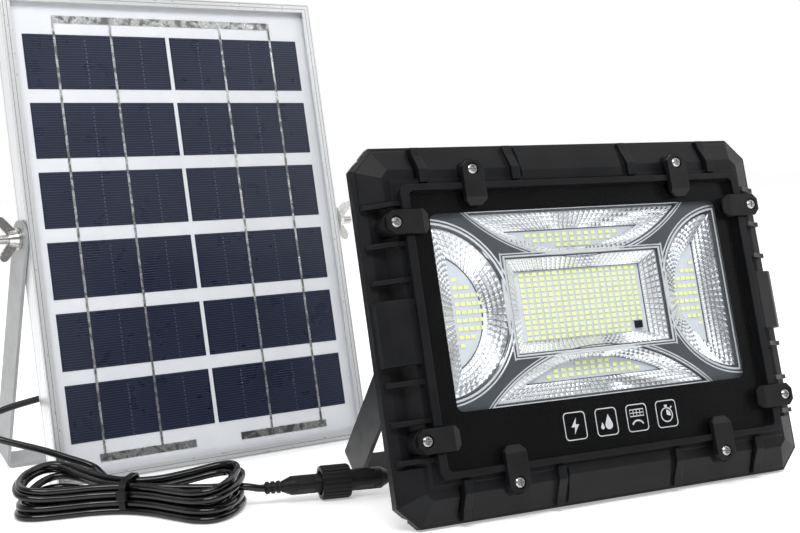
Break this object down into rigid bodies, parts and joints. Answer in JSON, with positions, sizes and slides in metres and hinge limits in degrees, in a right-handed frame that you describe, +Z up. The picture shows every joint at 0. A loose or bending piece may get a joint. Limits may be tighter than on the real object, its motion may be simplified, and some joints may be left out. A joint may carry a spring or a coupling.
{
  "type": "solar flood light",
  "caption": "Solar flood light: a slim square lamp head on a U bracket, cabled to a framed solar panel on its own bracket.",
  "frame": {"origin": "on the floor, under the centre of the box round the lamp head and the panel with their brackets", "axes": "+Z up, -Y the way the lamp head shines, +X to the right of someone facing the lamp head's front"},
  "size_m": [0.4757, 0.3534, 0.3214],
  "materials": {
    "black_cast": "matt black paint over die-cast aluminium",
    "black_steel": "satin black powder coat",
    "grey_steel": "pale grey powder coat",
    "bright_steel": "zinc plated",
    "anodised": "satin anodised aluminium",
    "smoked_glass": "toughened glass, black printed border",
    "solar_glass": "low-iron solar glass",
    "reflector": "vacuum metallised reflector",
    "dark_plate": "dark grey moulded plate",
    "led_board": "white solder mask with emitters",
    "circuit_board": "green circuit board",
    "black_part": "black moulded plastic",
    "cell_wrap": "blue shrink sleeve",
    "silicon": "blue-black silicon cell",
    "tinned": "tinned copper ribbon",
    "white_sheet": "white backing film",
    "rubber_black": "black seal",
    "seal_red": "red silicone seal",
    "cable_black": "glossy black cable sheath",
    "contact": "gold flashed brass",
    "aluminium_plate": "rolled aluminium sheet"
  },
  "bodies": {
    "stand": {"front_frame": "black_cast", "rear_housing": "black_cast", "lens_gasket": "rubber_black", "front_glass": "smoked_glass", "glass_clamps": "black_part", "clamp_screws": "bright_steel", "housing_screws": "bright_steel", "reflector_plate": "dark_plate", "reflector_centre": "reflector", "reflector_top": "reflector", "reflector_bottom": "reflector", "reflector_left": "reflector", "reflector_right": "reflector", "led_board_centre": "led_board", "led_board_top": "led_board", "led_board_bottom": "led_board", "led_board_left": "led_board", "led_board_right": "led_board", "infrared_sensor": "black_part", "heat_plate": "aluminium_plate", "control_board": "circuit_board", "board_parts": "black_part", "board_screws": "bright_steel", "battery_cells": "cell_wrap", "battery_cradle": "black_part", "lamp_cable_gland": "black_part", "lamp_pivot_bolts": "bright_steel", "lamp_washers": "bright_steel", "panel_rail_left": "anodised", "panel_rail_right": "anodised", "panel_rail_top": "anodised", "panel_rail_bottom": "anodised", "corner_keys": "aluminium_plate", "panel_glass": "solar_glass", "solar_cells": "silicon", "cell_ribbons": "tinned", "backsheet": "white_sheet", "junction_box": "black_part", "junction_box_lid": "black_part", "bypass_diode": "black_part", "panel_cable_gland": "black_part", "panel_pivot_bolts": "bright_steel", "panel_washers": "bright_steel", "cable_from_panel": "cable_black", "cable_hank": "cable_black", "cable_tie": "black_part", "cable_to_connector": "cable_black", "cable_from_lamp": "cable_black", "socket_body": "black_part", "plug_body": "black_part", "connector_seal": "seal_red", "contact_pins": "contact"},
    "lamp_bracket": {"lamp_bracket": "black_steel"},
    "panel_bracket": {"panel_bracket": "grey_steel"},
    "wing_nut_left": {"wing_nut_left": "bright_steel"},
    "wing_nut_right": {"wing_nut_right": "bright_steel"},
    "coupling_nut": {"coupling_nut": "black_part"}
  },
  "joints": [
    {"name": "lamp_bracket_swing", "type": "hinge", "parent": "stand", "child": "lamp_bracket", "pos_m": [0.0827, -0.11421, 0.10214], "axis": [1, 0, 0], "range_deg": [0, 120]},
    {"name": "panel_bracket_swing", "type": "hinge", "parent": "stand", "child": "panel_bracket", "pos_m": [-0.09359, 0.09594, 0.16006], "axis": [0.9903, 0.1392, 0], "range_deg": [0, 145]},
    {"name": "wing_nut_left_turn", "type": "hinge", "parent": "stand", "child": "wing_nut_left", "pos_m": [-0.21698, 0.0786, 0.16006], "axis": [0.9903, 0.1392, 0], "continuous": true},
    {"name": "wing_nut_right_turn", "type": "hinge", "parent": "stand", "child": "wing_nut_right", "pos_m": [0.0298, 0.11328, 0.16006], "axis": [0.9903, 0.1392, 0], "continuous": true},
    {"name": "coupling_nut_turn", "type": "hinge", "parent": "stand", "child": "coupling_nut", "pos_m": [-0.0593, -0.0678, 0.0106], "axis": [0.9848, -0.1736, 0], "continuous": true}
  ]
}
